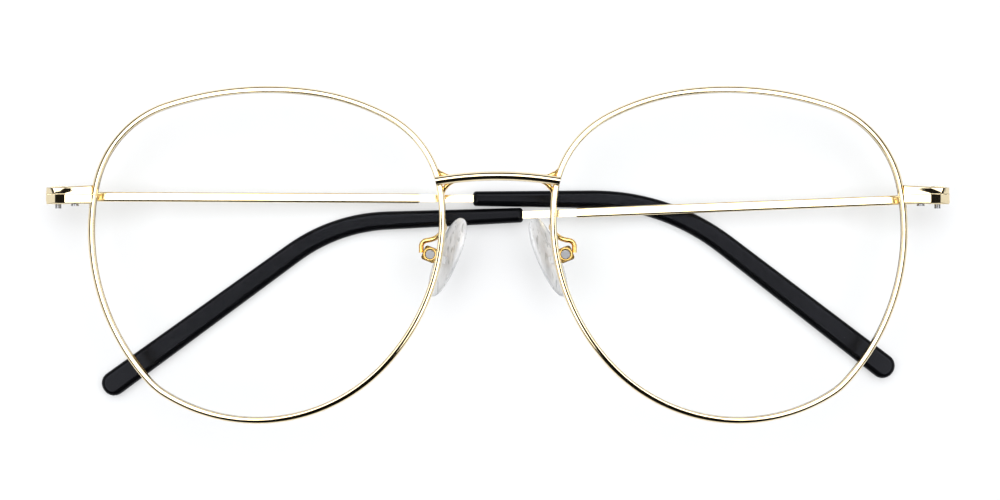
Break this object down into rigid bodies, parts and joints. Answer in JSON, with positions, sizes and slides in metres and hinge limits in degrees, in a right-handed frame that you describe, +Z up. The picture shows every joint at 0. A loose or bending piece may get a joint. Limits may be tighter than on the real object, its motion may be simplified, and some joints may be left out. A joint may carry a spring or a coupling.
{
  "type": "eyeglasses frame",
  "caption": "Metal eyeglasses folded flat: grooved rims, bridge bar, closing blocks, hinged temples with bent sleeves and rocking nose pads.",
  "frame": {"origin": "on the table under the middle of the front, with the glasses lying folded on their temples, front face up", "axes": "+X across the front to the viewer's right (the wearer's left), +Y up the lenses, +Z up from the table, out of the front"},
  "size_m": [0.1474, 0.0542, 0.0156],
  "materials": {
    "gold_metal": "polished pale gold plate",
    "screw_metal": "nickel plated, turned",
    "black_acetate": "glossy black",
    "clear_pad": "milky clear soft silicone",
    "clear_lens": "clear, polished"
  },
  "bodies": {
    "front": {"bridge": "gold_metal", "rim_left": "gold_metal", "lens_left": "clear_lens", "endpiece_upper_left": "gold_metal", "endpiece_lower_left": "gold_metal", "closing_screw_left": "screw_metal", "front_hinge_left": "gold_metal", "hinge_screw_left": "screw_metal", "pad_arm_left": "gold_metal", "pad_box_left": "gold_metal", "pad_screw_left": "screw_metal", "rim_right": "gold_metal", "lens_right": "clear_lens", "endpiece_upper_right": "gold_metal", "endpiece_lower_right": "gold_metal", "closing_screw_right": "screw_metal", "front_hinge_right": "gold_metal", "hinge_screw_right": "screw_metal", "pad_arm_right": "gold_metal", "pad_box_right": "gold_metal", "pad_screw_right": "screw_metal"},
    "left_temple": {"temple_bar_left": "gold_metal", "temple_hinge_left": "gold_metal", "temple_tip_left": "black_acetate"},
    "left_pad": {"nose_pad_left": "clear_pad", "pad_core_left": "screw_metal"},
    "right_temple": {"temple_bar_right": "gold_metal", "temple_hinge_right": "gold_metal", "temple_tip_right": "black_acetate"},
    "right_pad": {"nose_pad_right": "clear_pad", "pad_core_right": "screw_metal"}
  },
  "joints": [
    {"name": "left_temple_hinge", "type": "hinge", "parent": "front", "child": "left_temple", "pos_m": [-0.07145, 0.0096, 0.0061], "axis": [0, 1, 0], "range_deg": [0, 90]},
    {"name": "left_pad_rock", "type": "hinge", "parent": "front", "child": "left_pad", "pos_m": [-0.0109, 0.0001, 0.00903], "axis": [0, 0, 1], "range_deg": [-8, 8]},
    {"name": "right_temple_hinge", "type": "hinge", "parent": "front", "child": "right_temple", "pos_m": [0.07145, 0.0096, 0.0061], "axis": [0, -1, 0], "range_deg": [0, 90]},
    {"name": "right_pad_rock", "type": "hinge", "parent": "front", "child": "right_pad", "pos_m": [0.0109, 0.0001, 0.00903], "axis": [0, 0, 1], "range_deg": [-8, 8]}
  ]
}
